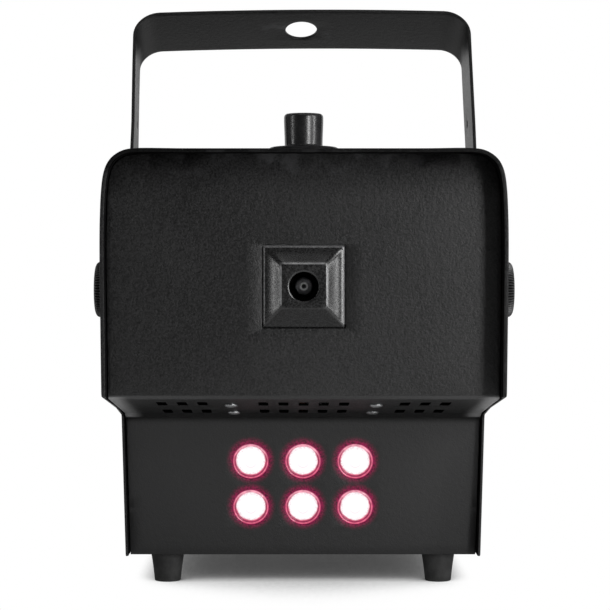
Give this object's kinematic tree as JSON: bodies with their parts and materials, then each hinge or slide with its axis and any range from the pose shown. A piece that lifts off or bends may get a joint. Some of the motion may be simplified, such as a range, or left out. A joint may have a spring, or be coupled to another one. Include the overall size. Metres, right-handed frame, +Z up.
{
  "type": "fog machine",
  "caption": "Boxy sheet-metal fog machine with a recessed nozzle, a cluster of lights low on the front, a screw-capped fluid tank, rubber feet and a tilting hanging bracket held by clamp knobs.",
  "frame": {"origin": "on the floor under the middle of the machine, midway between its sides and between the front and rear rims of the hood", "axes": "+X to the right when facing the nozzle, +Y from the nozzle towards the rear, +Z up"},
  "size_m": [0.2534, 0.322, 0.3417],
  "materials": {
    "powder_coat": "fine satin powder coat, very dark grey",
    "dark_steel": "turned, heat darkened",
    "zinc_steel": "zinc plated",
    "cast_aluminium": "cast",
    "ceramic_wool": "felted",
    "black_screw": "black oxide",
    "black_plastic": "fine spark texture",
    "gloss_black_plastic": "glossy",
    "rubber": "matte",
    "led_lens": "clear, lit",
    "circuit_board": "solder mask",
    "tank_plastic": "translucent, natural",
    "coil_winding": "lacquered copper under tape",
    "copper_tube": "drawn copper",
    "clear_tube": "clear",
    "red_button": "satin",
    "green_lamp": "clear, lit"
  },
  "bodies": {
    "housing": {"hood_cover": "powder_coat", "front_panel": "powder_coat", "nozzle_cover": "powder_coat", "nozzle": "dark_steel", "heater_block": "cast_aluminium", "heater_insulation": "ceramic_wool", "heater_bracket_left": "zinc_steel", "heater_bracket_right": "zinc_steel", "thermostat": "black_plastic", "thermal_fuse": "zinc_steel", "chin_screw_1": "zinc_steel", "chin_screw_2": "zinc_steel", "chin_screw_3": "zinc_steel", "chin_screw_4": "zinc_steel", "side_screw_1": "black_screw", "side_screw_2": "black_screw", "side_screw_3": "black_screw", "side_screw_4": "black_screw", "led_lens_1": "led_lens", "led_lens_2": "led_lens", "led_lens_3": "led_lens", "led_lens_4": "led_lens", "led_lens_5": "led_lens", "led_lens_6": "led_lens", "led_board": "circuit_board", "chassis_tray": "powder_coat", "foot_front_left": "rubber", "foot_front_right": "rubber", "foot_rear_left": "rubber", "foot_rear_right": "rubber", "foot_screw_1": "zinc_steel", "foot_screw_2": "zinc_steel", "foot_screw_3": "zinc_steel", "foot_screw_4": "zinc_steel", "clinch_nut_left": "zinc_steel", "clinch_nut_right": "zinc_steel", "fluid_tank": "tank_plastic", "pump_frame": "zinc_steel", "pump_coil": "coil_winding", "pump_body": "tank_plastic", "delivery_tube": "copper_tube", "suction_tube": "clear_tube", "main_board": "circuit_board", "rear_inlet": "black_plastic", "switch_body": "black_plastic", "fog_button_body": "black_plastic", "ready_lamp": "green_lamp", "remote_socket": "black_plastic"},
    "bracket": {"bracket": "powder_coat"},
    "clamp_washer_left": {"clamp_washer_left": "zinc_steel"},
    "knob_left": {"knob_left": "black_plastic"},
    "clamp_washer_right": {"clamp_washer_right": "zinc_steel"},
    "knob_right": {"knob_right": "black_plastic"},
    "tank_gasket": {"tank_gasket": "rubber"},
    "tank_cap": {"tank_cap": "gloss_black_plastic"},
    "pump_plunger": {"pump_plunger": "zinc_steel"},
    "fuse_drawer": {"fuse_drawer": "black_plastic", "fuse": "clear_tube"},
    "switch_rocker": {"switch_rocker": "gloss_black_plastic"},
    "fog_button": {"fog_button": "red_button"}
  },
  "joints": [
    {"name": "bracket_tilt", "type": "hinge", "parent": "housing", "child": "bracket", "pos_m": [0, 0.039, 0.1659], "axis": [1, 0, 0], "range_deg": [-95, 80]},
    {"name": "knob_left_travel", "type": "slide", "parent": "housing", "child": "clamp_washer_left", "axis": [-1, 0, 0], "range_m": [0, 0.0025]},
    {"name": "knob_left_turn", "type": "hinge", "parent": "clamp_washer_left", "child": "knob_left", "pos_m": [-0.11, 0.039, 0.1659], "axis": [-1, 0, 0], "range_deg": [0, 720]},
    {"name": "knob_right_travel", "type": "slide", "parent": "housing", "child": "clamp_washer_right", "axis": [1, 0, 0], "range_m": [0, 0.0025]},
    {"name": "knob_right_turn", "type": "hinge", "parent": "clamp_washer_right", "child": "knob_right", "pos_m": [0.11, 0.039, 0.1659], "axis": [1, 0, 0], "range_deg": [0, 720]},
    {"name": "cap_lift", "type": "slide", "parent": "housing", "child": "tank_gasket", "axis": [0, 0, 1], "range_m": [0, 0.009]},
    {"name": "cap_turn", "type": "hinge", "parent": "tank_gasket", "child": "tank_cap", "pos_m": [0, 0.034, 0.245], "axis": [0, 0, 1], "range_deg": [0, 810]},
    {"name": "switch_rock", "type": "hinge", "parent": "housing", "child": "switch_rocker", "pos_m": [-0.016, 0.1488, 0.06], "axis": [1, 0, 0], "range_deg": [-24, 0]},
    {"name": "fog_press", "type": "slide", "parent": "housing", "child": "fog_button", "axis": [0, -1, 0], "range_m": [0, 0.0025], "stiffness_N_per_m": 200},
    {"name": "fuse_drawer_slide", "type": "slide", "parent": "housing", "child": "fuse_drawer", "axis": [0, 1, 0], "range_m": [0, 0.018]},
    {"name": "plunger_stroke", "type": "slide", "parent": "housing", "child": "pump_plunger", "axis": [0, 1, 0], "range_m": [-0.0015, 0.0015], "stiffness_N_per_m": 2000}
  ],
  "couplings": [
    {"joint": "knob_left_turn", "follows": "knob_left_travel", "rad_per_m": 5026.5},
    {"joint": "knob_right_turn", "follows": "knob_right_travel", "rad_per_m": 5026.5},
    {"joint": "cap_turn", "follows": "cap_lift", "rad_per_m": 1570.7}
  ]
}
